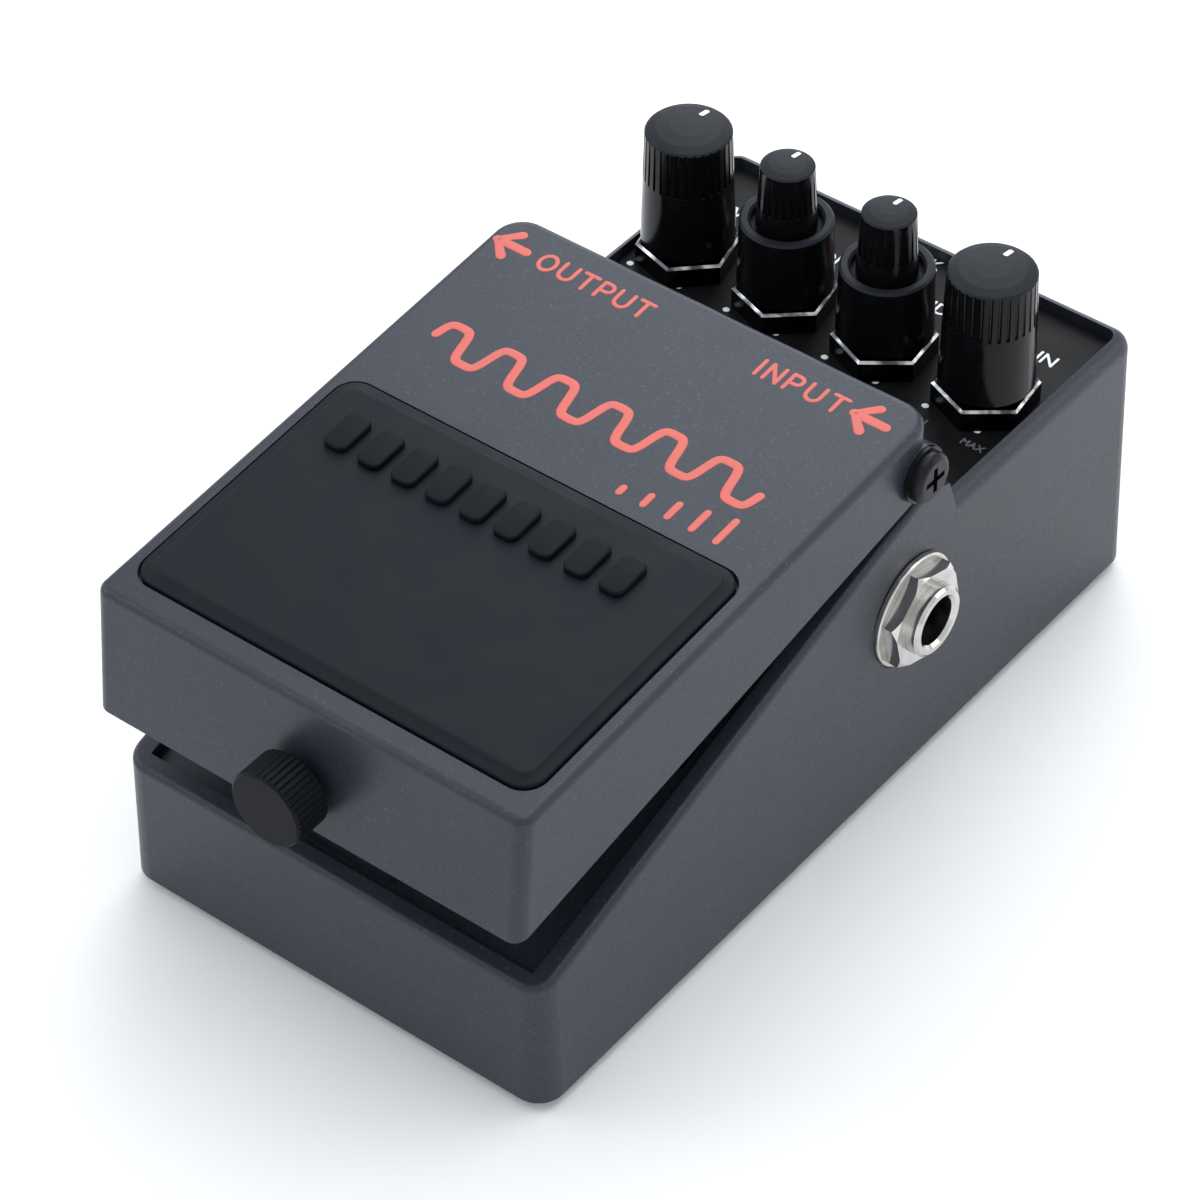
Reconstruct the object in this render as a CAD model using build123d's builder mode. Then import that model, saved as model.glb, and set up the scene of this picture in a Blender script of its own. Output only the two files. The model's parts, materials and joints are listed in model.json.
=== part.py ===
from build123d import *
from math import atan2, cos, degrees, pi, radians, sin, tan
import os

os.makedirs("parts", exist_ok=True)

# All lengths are millimetres.
# X runs across the pedal towards the input side, Y towards the knobs, Z up from the floor.
# The origin is on the floor, under the middle of the casting.

# --- casting ---------------------------------------------------------------
body_width = 64.4
body_length = 121.5
body_corner = 3.5
draft = 1.3                       # degrees, every outer wall leans in as it rises
wall = 2.4
sole_t = 1.6                      # rubber sole, the casting's bottom edge is on top of it
front_height = 18.5               # casting's front wall, measured from its own bottom edge
deck_slope = tan(radians(17.3))
rim_z = 38.6                      # top of the rim around the control panel
ear_y = 14.2                      # the deck's side walls climb as far as here
ear_back = (19.2, 41.7)           # y and z where the ear's top turns down
ear_foot_y = 20.2
rim_round = 2.5
deck_step = 1.8                   # deck lies this far below its side walls
deck_t = 2.4
bay_front = -58.2                 # inner face of the front wall, above the deck
bay_half = 29.0                   # half the distance between the deck's side walls

# --- control section -------------------------------------------------------
panel_z = 36.9                    # printed face of the control panel
panel_t = 1.0
roof_t = 2.2                      # casting under the panel
panel_front = 16.9
panel_back = 57.8
panel_half = 29.6

# --- bottom ----------------------------------------------------------------
plate_t = 1.2
plate_gap = 0.2
plate_screw_x = 24.8
plate_screw_y = 53.4
plate_post_r = 3.2
rebate_width = 61.4
rebate_length = 118.5
sole_inset = 3.2                  # sole's edge lies this far inside the casting's

# --- circuit boards --------------------------------------------------------
board_z = 4.6
board_t = 1.6
board_half_x = 27.5
board_half_y = 47.0
board_post_x = 23.5
board_post_y = (-36.0, 25.0)
board_post_r = 2.5
pot_board_z = 22.8
sheet_width = 42.6
sheet_length = 108.0

# --- hinge -----------------------------------------------------------------
hinge_y = 12.0
hinge_z = 48.6
lug_r = 3.6
lug_in = 25.0
lug_out = 29.0
lug_foot_z = 36.5
pivot_r = 2.0                     # shank of the hinge screw
bush_r = 2.9
hinge_washer_t = 0.4
hinge_head_r = 3.3
hinge_head_t = 1.5
run = 0.06                        # radial running clearance

# --- treadle ---------------------------------------------------------------
treadle_half = 31.6
treadle_wall = 2.0
treadle_top_t = 3.2
nose_low = (-63.6, 31.4)          # y and z of the front wall's lower edge
nose_top = (-61.9, 49.3)
heel_top = (15.3, 55.5)
heel_low = 46.2                   # lower edge of the rear wall
tab_r = 3.8
pad_half = 29.3
pad_front = -58.2
pad_back = -18.9
pad_sunk = 1.2
pad_proud = 0.8
pad_gap = 0.35

# --- battery bay -----------------------------------------------------------
bay_floor_z = 11.8
bay_floor_t = 1.6
battery_bay_half = 27.2
battery_bay_front = -28.0
battery_bay_back = 0.0
battery_length = 46.2
battery_width = 26.2
battery_height = 16.6
battery_left = -26.8
terminal_offset = 6.35            # each battery terminal, from the battery's middle
lead_x = 23.4
lead_y = (-16.5, -13.5)

# --- foot mechanism --------------------------------------------------------
spring_y = -47.3
spring_seat_z = 23.2
spring_top_z = 45.3
coil_r = 4.2
coil_turns = 7
wire_r = 0.5
cap_r = 5.6                       # steel cap on top of the return spring
cap_t = 1.2
cap_stem_r = 2.6
cap_stem = 9.0
switch_y = -36.2
switch_seat_z = 27.6
switch_top_z = 35.0
switch_half = 4.9
plunger_r = 1.9
plunger_top_z = 37.6
striker_top_z = 45.0

# --- thumb screw and its post ----------------------------------------------
screw_z = 38.2                    # axis of the thumb screw
screw_shank_r = 2.0
head_front = -69.5
head_back = -64.2
head_r = 5.1
knurl_count = 40
clip_y = -58.2
post_half = 6.5
post_front = -56.4
post_back = -53.0
guide_half = 3.6                  # slot in the post that takes the nylon guide
guide_low = 30.4
guide_top = 42.0

# --- sockets ---------------------------------------------------------------
jack_y = 11.4
jack_z = 27.3
jack_wall_in = 29.0
jack_mouth = 35.8
plug_r = 3.25
plug_space_r = 3.9                # bore of the socket's body, behind the bushing
bush_hole_r = 4.85
bushing_out_r = 4.7
washer_x = 31.62                  # spot face that the washers sit on
washer_r = 7.6
washer_t = 0.7
nut_corner_r = 7.1
nut_t = 1.9
nut_rotation = 42.5
dc_x = 14.0
dc_z = 20.0
dc_hole_r = 4.8
dc_half = 5.5
dc_plug_r = 2.85

# --- controls --------------------------------------------------------------
knob_pitch = 15.3
knob_y = 39.0
knob_x = [(i - 1.5) * knob_pitch for i in range(4)]
knob_low = 40.9
bushing_r = 4.4
bushing_top = 40.5
shaft_r = 3.0
inner_shaft_r = 2.0
pot_nut_corner_r = 6.8
pot_nut_t = 3.1
pot_nut_turns = [44, 41, 37, 38]  # each nut stopped where it was tight
large_rim = 57.4
ring_top = 50.8
ring_floor = 49.4
small_rim = 59.05
led_y = 52.6
led_hole_r = 2.6


def deck_z(y):
    """Height of the deck's side walls at y."""
    return sole_t + front_height + deck_slope * (y + body_length / 2)


def treadle_z(y):
    """Height of the treadle's top face at y."""
    rise = (heel_top[1] - nose_top[1]) / (heel_top[0] - nose_top[0])
    return nose_top[1] + rise * (y - nose_top[0])


def finish(builder, name):
    """Label a finished piece and write it."""
    builder.part.label = name
    export_step(builder.part, f"parts/{name}.step")


def slab(x0, x1, y0, y1, z0, z1, mode=Mode.ADD):
    """A rectangular block given by its limits."""
    with Locations(((x0 + x1) / 2, (y0 + y1) / 2, (z0 + z1) / 2)):
        Box(x1 - x0, y1 - y0, z1 - z0, mode=mode)


def post(x, y, z0, z1, radius, mode=Mode.ADD):
    """An upright cylinder between two heights."""
    with Locations((x, y, (z0 + z1) / 2)):
        Cylinder(radius, z1 - z0, mode=mode)


def bar_x(x0, x1, y, z, radius, mode=Mode.ADD):
    """A cylinder lying along X."""
    with Locations(Location(((x0 + x1) / 2, y, z), (0, 90, 0))):
        Cylinder(radius, abs(x1 - x0), mode=mode)


def bar_y(x, y0, y1, z, radius, mode=Mode.ADD):
    """A cylinder lying along Y."""
    with Locations(Location((x, (y0 + y1) / 2, z), (90, 0, 0))):
        Cylinder(radius, y1 - y0, mode=mode)


def profile_prism(points, half, mode=Mode.ADD):
    """A prism across the pedal whose outline is given in Y and Z."""
    with BuildSketch(Plane.YZ) as outline:
        with BuildLine():
            Polyline(*points, close=True)
        make_face()
    extrude(outline.sketch, amount=half, both=True, mode=mode)


plate_posts = [(sx * plate_screw_x, sy * plate_screw_y) for sx in (-1, 1) for sy in (-1, 1)]
board_posts = [(sx * board_post_x, y) for sx in (-1, 1) for y in board_post_y]
ceiling_z = panel_z - panel_t - roof_t
far = 80.0                        # beyond the casting in any direction

# The space inside the casting, open at the bottom.
with BuildPart() as hollow:
    with BuildSketch(Plane.XY.offset(sole_t)):
        RectangleRounded(body_width - 2 * wall, body_length - 2 * wall, body_corner - 1)
    extrude(amount=rim_z, taper=draft)
    ceiling_drop = deck_step + deck_t
    profile_prism(
        [
            (-far, 0),
            (-far, deck_z(-far) - ceiling_drop),
            (10.0, deck_z(10.0) - ceiling_drop),
            (12.5, ceiling_z),
            (far, ceiling_z),
            (far, 0),
        ],
        far,
        Mode.INTERSECT,
    )

# The sunken deck and the seat of the control panel, open at the top.
with BuildPart() as upper_recess:
    deck_low = 11.5
    profile_prism(
        [
            (bay_front, far),
            (bay_front, deck_z(bay_front) - deck_step),
            (deck_low, deck_z(deck_low) - deck_step),
            (panel_front - 0.2, panel_z - panel_t),
            (panel_front - 0.2, far),
        ],
        bay_half,
    )
    slab(-panel_half - 0.2, panel_half + 0.2, panel_front - 0.3, panel_back + 0.2, panel_z - panel_t, far)
    fillet(upper_recess.edges().filter_by(Axis.Z).group_by(Axis.Y)[-1], 1.5)

# ---------------------------------------------------------------- casting
with BuildPart() as chassis:
    with BuildSketch(Plane.XY.offset(sole_t)):
        RectangleRounded(body_width, body_length, body_corner)
    extrude(amount=deck_z(ear_y) - sole_t + 1, taper=draft)
    profile_prism(
        [
            (-far, 0),
            (-far, deck_z(-far)),
            (ear_y, deck_z(ear_y)),
            ear_back,
            (ear_foot_y, rim_z),
            (far, rim_z),
            (far, 0),
        ],
        far,
        Mode.INTERSECT,
    )
    deck_face = chassis.faces().filter_by(lambda f: f.normal_at().Z > 0.9 and f.normal_at().Y < -0.2)
    fillet(deck_face.edges().filter_by(lambda e: e.center().Y < ear_y - 1), 1.0)
    rim_face = chassis.faces().filter_by(lambda f: f.normal_at().Z > 0.999)
    fillet(rim_face.edges().filter_by(lambda e: e.center().Y > ear_foot_y + 1), rim_round)
    add(hollow.part, mode=Mode.SUBTRACT)
    add(upper_recess.part, mode=Mode.SUBTRACT)

    # battery bay: a walled well with a floor, hanging from the deck
    profile_prism(
        [
            (battery_bay_front - bay_floor_t, bay_floor_z - bay_floor_t),
            (battery_bay_front - bay_floor_t, deck_z(battery_bay_front) - deck_step - 1),
            (battery_bay_back + bay_floor_t, deck_z(battery_bay_back) - deck_step - 1),
            (battery_bay_back + bay_floor_t, bay_floor_z - bay_floor_t),
        ],
        29.8,
    )
    slab(-battery_bay_half, battery_bay_half, battery_bay_front, battery_bay_back, bay_floor_z, far,
         Mode.SUBTRACT)

    # hinge lugs, thumb screw post, spring seat and switch seat
    for side in (-1, 1):
        slab(*sorted((side * lug_in, side * lug_out)), hinge_y - lug_r, hinge_y + lug_r, lug_foot_z, hinge_z)
        bar_x(side * lug_in, side * lug_out, hinge_y, hinge_z, lug_r)
        bar_x(side * (lug_in - 1), side * (lug_out + 1), hinge_y, hinge_z, pivot_r + 0.02, Mode.SUBTRACT)
    slab(-post_half, post_half, post_front, post_back, 19.0, guide_top)
    slab(-guide_half, guide_half, post_front - 0.6, post_back + 1, guide_low, guide_top + 1, Mode.SUBTRACT)
    post(0, spring_y, 20.0, spring_seat_z, 6.0)
    post(0, spring_y, 20.0, spring_seat_z + 3.0, 3.0)
    slab(-6.0, 6.0, switch_y - 5.6, switch_y + 5.6, 24.0, switch_seat_z)

    # posts for the screws of the bottom plate and of the circuit board
    for x, y in plate_posts:
        top = min(deck_z(y) - deck_step - 1, ceiling_z + 1)
        post(x, y, sole_t + plate_t, top, plate_post_r)
        post(x, y, sole_t, sole_t + plate_t + 9.0, 1.3, Mode.SUBTRACT)
    for x, y in board_posts:
        top = min(deck_z(y) - deck_step - 1, ceiling_z + 1)
        post(x, y, board_z + board_t, top, board_post_r)
        post(x, y, board_z, board_z + board_t + 7.0, 1.0, Mode.SUBTRACT)

    # rebate for the bottom plate
    with BuildSketch(Plane.XY.offset(sole_t)):
        RectangleRounded(rebate_width, rebate_length, body_corner - 1)
    extrude(amount=plate_t, mode=Mode.SUBTRACT)

    # openings for the sockets, the pots, the lamp and the battery leads
    for side in (-1, 1):
        bar_x(side * (jack_wall_in - 1), side * far, jack_y, jack_z, bush_hole_r, Mode.SUBTRACT)
        bar_x(side * (washer_x - 0.02), side * far, jack_y, jack_z, washer_r + 0.3, Mode.SUBTRACT)
    bar_y(dc_x, panel_back - 3, far, dc_z, dc_hole_r, Mode.SUBTRACT)
    for x in knob_x:
        post(x, knob_y, ceiling_z - 1, panel_z, bushing_r + 0.1, Mode.SUBTRACT)
    post(0, led_y, ceiling_z - 1, panel_z, led_hole_r, Mode.SUBTRACT)
    for y in lead_y:
        post(lead_x, y, bay_floor_z - bay_floor_t - 1, bay_floor_z + 1, 1.1, Mode.SUBTRACT)
finish(chassis, "chassis")

# ---------------------------------------------------------------- bottom
with BuildPart() as bottom_plate:
    with BuildSketch(Plane.XY.offset(sole_t)):
        RectangleRounded(rebate_width - 2 * plate_gap, rebate_length - 2 * plate_gap, body_corner - 1)
    extrude(amount=plate_t)
    with Locations(*[Location((x, y, sole_t), (180, 0, 0)) for x, y in plate_posts]):
        CounterSinkHole(radius=1.6, counter_sink_radius=2.9, depth=plate_t + 1, counter_sink_angle=90)
finish(bottom_plate, "bottom_plate")

with BuildPart() as bottom_plate_screws:
    for x, y in plate_posts:
        with Locations((x, y, sole_t + plate_t / 2)):
            Cone(2.75, 1.4, plate_t)
        post(x, y, sole_t + plate_t, sole_t + plate_t + 7.0, 1.28)
        with Locations((x, y, sole_t + 0.35)):
            Box(2.6, 0.6, 0.8, mode=Mode.SUBTRACT)
            Box(0.6, 2.6, 0.8, mode=Mode.SUBTRACT)
finish(bottom_plate_screws, "bottom_plate_screws")

with BuildPart() as rubber_sole:
    with BuildSketch():
        RectangleRounded(body_width - 2 * sole_inset, body_length - 2 * sole_inset, body_corner - 0.5)
        with Locations(*plate_posts):
            Circle(plate_post_r + 0.1, mode=Mode.SUBTRACT)
    extrude(amount=sole_t)
    fillet(rubber_sole.edges().group_by(Axis.Z)[0], 0.3)
finish(rubber_sole, "rubber_sole")

with BuildPart() as insulating_sheet:
    with BuildSketch(Plane.XY.offset(sole_t + plate_t + 0.05)):
        RectangleRounded(sheet_width, sheet_length, 2.0)
    extrude(amount=0.3)
finish(insulating_sheet, "insulating_sheet")

# ---------------------------------------------------------------- circuit boards
with BuildPart() as main_board:
    slab(-board_half_x, board_half_x, -board_half_y, board_half_y, board_z, board_z + board_t)
    for x, y in board_posts:
        post(x, y, board_z - 1, board_z + board_t + 1, 1.4, Mode.SUBTRACT)
finish(main_board, "main_board")

with BuildPart() as board_screws:
    for x, y in board_posts:
        post(x, y, board_z - 1.0, board_z - 0.02, 2.2)
        post(x, y, board_z - 0.2, board_z + board_t + 5.0, 0.95)
finish(board_screws, "board_screws")

with BuildPart() as board_components:
    chip_z = board_z + board_t
    for i in range(4):
        slab(-16.0 + 9 * i, -10.0 + 9 * i, -24.0, -14.0, chip_z, chip_z + 2.6)
    for i in range(5):
        post(-18.0 + 9 * i, 27.5, chip_z, chip_z + 7.0, 2.5)
    for i in range(5):
        post(-18.0 + 9 * i, -38.0, chip_z, chip_z + 5.0, 2.0)
finish(board_components, "board_components")

with BuildPart() as pot_board:
    slab(-28.0, 28.0, knob_y - 7.5, knob_y + 7.5, pot_board_z, pot_board_z + board_t)
finish(pot_board, "pot_board")

with BuildPart() as board_ribbon:
    slab(-10.0, 10.0, 33.0, 33.4, board_z + board_t, pot_board_z)
finish(board_ribbon, "board_ribbon")


# ---------------------------------------------------------------- sockets
def socket_parts(side, prefix):
    """Write the body, bushing, washer and nut of one plug socket."""
    with BuildPart() as socket_body:
        inner, outer = sorted((side * 3.2, side * (jack_wall_in - 0.05)))
        slab(inner, outer, jack_y - 6.8, jack_y + 6.8, jack_z - 6.0, jack_z + 6.0)
        bar_x(0, side * far, jack_y, jack_z, plug_space_r, Mode.SUBTRACT)
    finish(socket_body, f"{prefix}_socket_body")

    with BuildPart() as socket_bushing:
        bar_x(side * (jack_wall_in - 0.05), side * jack_mouth, jack_y, jack_z, bushing_out_r)
        end = socket_bushing.faces().sort_by(Axis.X)[-1 if side > 0 else 0]
        chamfer(end.edges(), 0.35)
        bar_x(side * (jack_wall_in - 1), side * far, jack_y, jack_z, plug_r, Mode.SUBTRACT)
        mouth = socket_bushing.faces().sort_by(Axis.X)[-1 if side > 0 else 0]
        chamfer(mouth.edges().sort_by(SortBy.LENGTH)[0], 0.4)
    finish(socket_bushing, f"{prefix}_socket_bushing")

    with BuildPart() as socket_washer:
        bar_x(side * washer_x, side * (washer_x + washer_t), jack_y, jack_z, washer_r)
        bar_x(0, side * far, jack_y, jack_z, bushing_out_r + 0.08, Mode.SUBTRACT)
        fillet(socket_washer.edges().group_by(Axis.X)[-1 if side > 0 else 0].sort_by(SortBy.LENGTH)[-1], 0.25)
    finish(socket_washer, f"{prefix}_socket_washer")

    nut_x = washer_x + washer_t + 0.02
    with BuildPart() as socket_nut:
        with BuildSketch(Plane.YZ.offset(side * nut_x)):
            with Locations((jack_y, jack_z)):
                RegularPolygon(nut_corner_r, 6, rotation=nut_rotation)
                Circle(bushing_out_r + 0.02, mode=Mode.SUBTRACT)
        extrude(amount=side * nut_t)
        with BuildSketch(Plane.XZ.offset(-jack_y)) as bevel:
            with BuildLine():
                Polyline(
                    (side * (nut_x - 0.5), jack_z),
                    (side * (nut_x - 0.5), jack_z + nut_corner_r + 2),
                    (side * (nut_x + nut_t - 0.75), jack_z + nut_corner_r + 0.12),
                    (side * (nut_x + nut_t), jack_z + nut_corner_r * 0.9),
                    (side * (nut_x + nut_t), jack_z),
                    close=True,
                )
            make_face()
        revolve(axis=Axis((0, jack_y, jack_z), (1, 0, 0)), mode=Mode.INTERSECT)
    finish(socket_nut, f"{prefix}_socket_nut")


socket_parts(1, "input")
socket_parts(-1, "output")

with BuildPart() as dc_socket_body:
    slab(dc_x - dc_half, dc_x + dc_half, 47.0, 57.6, dc_z - dc_half, dc_z + dc_half)
    bar_y(dc_x, 50.0, 60.1, dc_z, dc_hole_r - 0.1)
    bar_y(dc_x, 49.0, far, dc_z, dc_plug_r, Mode.SUBTRACT)
    chamfer(dc_socket_body.faces().sort_by(Axis.Y)[-1].edges(), 0.3)
finish(dc_socket_body, "dc_socket_body")

with BuildPart() as dc_socket_pin:
    bar_y(dc_x, 49.02, 58.6, dc_z, 1.05)
    fillet(dc_socket_pin.edges().group_by(Axis.Y)[-1], 0.5)
finish(dc_socket_pin, "dc_socket_pin")

# ---------------------------------------------------------------- control panel
with BuildPart() as control_panel:
    slab(-panel_half, panel_half, panel_front, panel_back, panel_z - panel_t, panel_z)
    fillet(control_panel.edges().filter_by(Axis.Z).group_by(Axis.Y)[-1], 1.4)
    for x in knob_x:
        post(x, knob_y, 0, far, bushing_r + 0.15, Mode.SUBTRACT)
    post(0, led_y, 0, far, led_hole_r, Mode.SUBTRACT)
finish(control_panel, "control_panel")

with BuildPart() as lamp_bezel:
    post(0, led_y, panel_z, panel_z + 0.7, 3.3)
    post(0, led_y, ceiling_z + 0.5, panel_z, 2.55)
    post(0, led_y, 0, far, 2.0, Mode.SUBTRACT)
    fillet(lamp_bezel.edges().group_by(Axis.Z)[-1].sort_by(SortBy.LENGTH)[-1], 0.35)
finish(lamp_bezel, "lamp_bezel")

with BuildPart() as check_lamp:
    post(0, led_y, ceiling_z + 1.5, panel_z + 1.6, 1.95)
    fillet(check_lamp.edges().group_by(Axis.Z)[-1], 1.7)
finish(check_lamp, "check_lamp")

# ---------------------------------------------------------------- pots
pot_names = ["level", "eq", "mid", "drive"]
dual = {"eq", "mid"}

for name, x in zip(pot_names, knob_x):
    with BuildPart() as pot:
        slab(x - 5.9, x + 5.9, knob_y - 7.0, knob_y + 7.0, pot_board_z + board_t + 0.05, ceiling_z - 0.05)
        post(x, knob_y, ceiling_z - 1, bushing_top, bushing_r)
        chamfer(pot.edges().group_by(Axis.Z)[-1], 0.3)
        post(x, knob_y, 26.0, far, shaft_r + run, Mode.SUBTRACT)
    finish(pot, f"{name}_pot")

with BuildPart() as pot_nuts:
    for x, nut_turn in zip(knob_x, pot_nut_turns):
        with BuildSketch(Plane.XY.offset(panel_z + 0.02)):
            with Locations((x, knob_y)):
                RegularPolygon(pot_nut_corner_r, 6, rotation=nut_turn)
                Circle(bushing_r + 0.05, mode=Mode.SUBTRACT)
        extrude(amount=pot_nut_t)
    top_edges = pot_nuts.edges().group_by(Axis.Z)[-1].filter_by(GeomType.LINE)
    chamfer(top_edges, 0.3)
finish(pot_nuts, "pot_nuts")


def flutes(x, y, z0, z1, radius, count, depth):
    """Cut upright grip flutes into a knob's side."""
    flute_r = 0.42 * pi * radius / count
    with Locations((x, y, (z0 + z1) / 2)):
        with PolarLocations(radius + flute_r - depth, count):
            Cylinder(flute_r, z1 - z0, mode=Mode.SUBTRACT)


def turned(x, outline):
    """A solid of revolution about a knob's axis, its outline given as radius and height."""
    with BuildSketch(Plane.XZ.offset(-knob_y)) as section:
        with BuildLine():
            Polyline(*[(x + r, z) for r, z in outline], close=True)
        make_face()
    revolve(section.sketch, axis=Axis((x, knob_y, 0), (0, 0, 1)))


def shaft_and_bore(builder_name, x, low, high, radius, bore=0.0):
    """A control shaft, hollow where a second shaft runs inside it."""
    with BuildPart() as shaft:
        post(x, knob_y, low, high, radius)
        if bore:
            post(x, knob_y, low - 1, high + 1, bore, Mode.SUBTRACT)
    finish(shaft, builder_name)


for name, x in zip(pot_names, knob_x):
    if name in dual:
        shaft_and_bore(f"{name}_outer_shaft", x, 28.0, 48.4, shaft_r, inner_shaft_r + run)
        shaft_and_bore(f"{name}_inner_shaft", x, 27.0, 55.5, inner_shaft_r)
        with BuildPart() as ring_knob:
            turned(x, [(0, knob_low), (6.2, knob_low), (5.97, ring_top - 0.3), (5.67, ring_top),
                       (4.9, ring_top), (4.6, ring_top - 0.3), (4.6, ring_floor), (0, ring_floor)])
            post(x, knob_y, 0, far, shaft_r + 0.02, Mode.SUBTRACT)
        finish(ring_knob, f"{name}_ring_knob")
        with BuildPart() as cap_knob:
            turned(x, [(0, ring_floor + 0.4), (3.92, ring_floor + 0.4), (3.43, small_rim - 0.2),
                       (3.2, small_rim), (2.4, small_rim + 0.3), (1.3, small_rim + 0.5), (0, small_rim + 0.55)])
            flutes(x, knob_y, 53.0, small_rim + 0.1, 3.62, 24, 0.18)
            post(x, knob_y, ring_floor, 55.6, inner_shaft_r + 0.02, Mode.SUBTRACT)
        finish(cap_knob, f"{name}_cap_knob")
    else:
        shaft_and_bore(f"{name}_shaft", x, 28.0, 52.0, shaft_r)
        with BuildPart() as knob:
            turned(x, [(0, knob_low), (6.1, knob_low), (5.55, large_rim - 0.25), (5.3, large_rim),
                       (4.2, large_rim + 0.42), (2.4, large_rim + 0.72), (0, large_rim + 0.85)])
            flutes(x, knob_y, 50.6, large_rim + 0.2, 5.68, 32, 0.24)
            post(x, knob_y, 0, 52.1, shaft_r + 0.02, Mode.SUBTRACT)
        finish(knob, f"{name}_knob")

# ---------------------------------------------------------------- battery
battery_low = bay_floor_z + 0.05
battery_mid_y = (battery_bay_front + battery_bay_back) / 2
battery_end = battery_left + battery_length
terminal_z = battery_low + battery_height / 2
with BuildPart() as battery:
    slab(battery_left, battery_end, battery_mid_y - battery_width / 2, battery_mid_y + battery_width / 2,
         battery_low, battery_low + battery_height)
    fillet(battery.edges().filter_by(Axis.X), 1.6)
    bar_x(battery_end - 0.4, battery_end + 2.2, battery_mid_y - terminal_offset, terminal_z, 2.9)
    bar_x(battery_end - 0.4, battery_end + 2.2, battery_mid_y + terminal_offset, terminal_z, 3.9)
finish(battery, "battery")

with BuildPart() as battery_snap:
    slab(battery_end + 0.3, battery_end + 5.2, battery_mid_y - 12.5, battery_mid_y + 12.5,
         battery_low + 1.4, battery_low + 15.0)
    for y in (battery_mid_y - terminal_offset, battery_mid_y + terminal_offset):
        bar_x(battery_end - 0.4, battery_end + 2.4, y, terminal_z, 4.1, Mode.SUBTRACT)
    fillet(battery_snap.edges().filter_by(Axis.X).sort_by(Axis.Z)[-2:], 3.0)
finish(battery_snap, "battery_snap")

with BuildPart() as battery_leads:
    for y in lead_y:
        post(lead_x, y, board_z + board_t, battery_low + 1.4, 0.75)
finish(battery_leads, "battery_leads")

# ---------------------------------------------------------------- foot mechanism
with BuildPart() as guide_bush:
    slab(-guide_half + 0.05, guide_half - 0.05, post_front - 0.4, post_back + 0.2,
         guide_low + 0.05, guide_top - 0.2)
    slab(-screw_shank_r - 0.3, screw_shank_r + 0.3, -far, 0, screw_z - 6.3, guide_top + 1, Mode.SUBTRACT)
finish(guide_bush, "guide_bush")

with BuildPart() as return_spring:
    coil_low = spring_seat_z + 0.05 + wire_r
    coil_high = spring_top_z - 0.05 - wire_r
    with BuildLine(Plane((0, spring_y, coil_low))):
        coil = Helix(pitch=(coil_high - coil_low) / coil_turns, height=coil_high - coil_low, radius=coil_r)
    with BuildSketch(Plane(origin=coil @ 0, z_dir=coil % 0)):
        Circle(wire_r)
    sweep(path=coil, is_frenet=True)
finish(return_spring, "return_spring")

with BuildPart() as spring_cap:
    post(0, spring_y, spring_top_z, spring_top_z + cap_t, cap_r)
    fillet(spring_cap.edges().group_by(Axis.Z)[-1], 0.4)
    post(0, spring_y, spring_top_z - cap_stem, spring_top_z + 0.5, cap_stem_r)
    chamfer(spring_cap.edges().group_by(Axis.Z)[0], 0.5)
finish(spring_cap, "spring_cap")

with BuildPart() as foot_switch:
    slab(-switch_half, switch_half, switch_y - switch_half, switch_y + switch_half, switch_seat_z, switch_top_z)
    fillet(foot_switch.edges().group_by(Axis.Z)[-1], 0.4)
    post(0, switch_y, switch_seat_z + 1.0, switch_top_z - 1.4, 3.4, Mode.SUBTRACT)
    post(0, switch_y, switch_seat_z + 1.0, far, plunger_r + run, Mode.SUBTRACT)
finish(foot_switch, "foot_switch")

with BuildPart() as switch_plunger:
    post(0, switch_y, switch_top_z - 2.8, plunger_top_z, plunger_r)
    post(0, switch_y, switch_top_z - 3.4, switch_top_z - 1.7, 3.0)
    fillet(switch_plunger.edges().group_by(Axis.Z)[-1], 1.0)
finish(switch_plunger, "switch_plunger")

# ---------------------------------------------------------------- treadle
with BuildPart() as treadle_hollow:
    profile_prism(
        [
            (nose_low[0] + treadle_wall - 1.0, 20.0),
            (nose_low[0] + treadle_wall, nose_low[1]),
            (nose_top[0] + treadle_wall, treadle_z(nose_top[0] + treadle_wall) - treadle_top_t),
            (heel_top[0] - treadle_wall, treadle_z(heel_top[0] - treadle_wall) - treadle_top_t),
            (heel_top[0] - treadle_wall, 20.0),
        ],
        treadle_half - treadle_wall,
    )
    fillet(treadle_hollow.edges().filter_by(Axis.Z).group_by(Axis.Y)[-1], 2.6)

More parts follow.
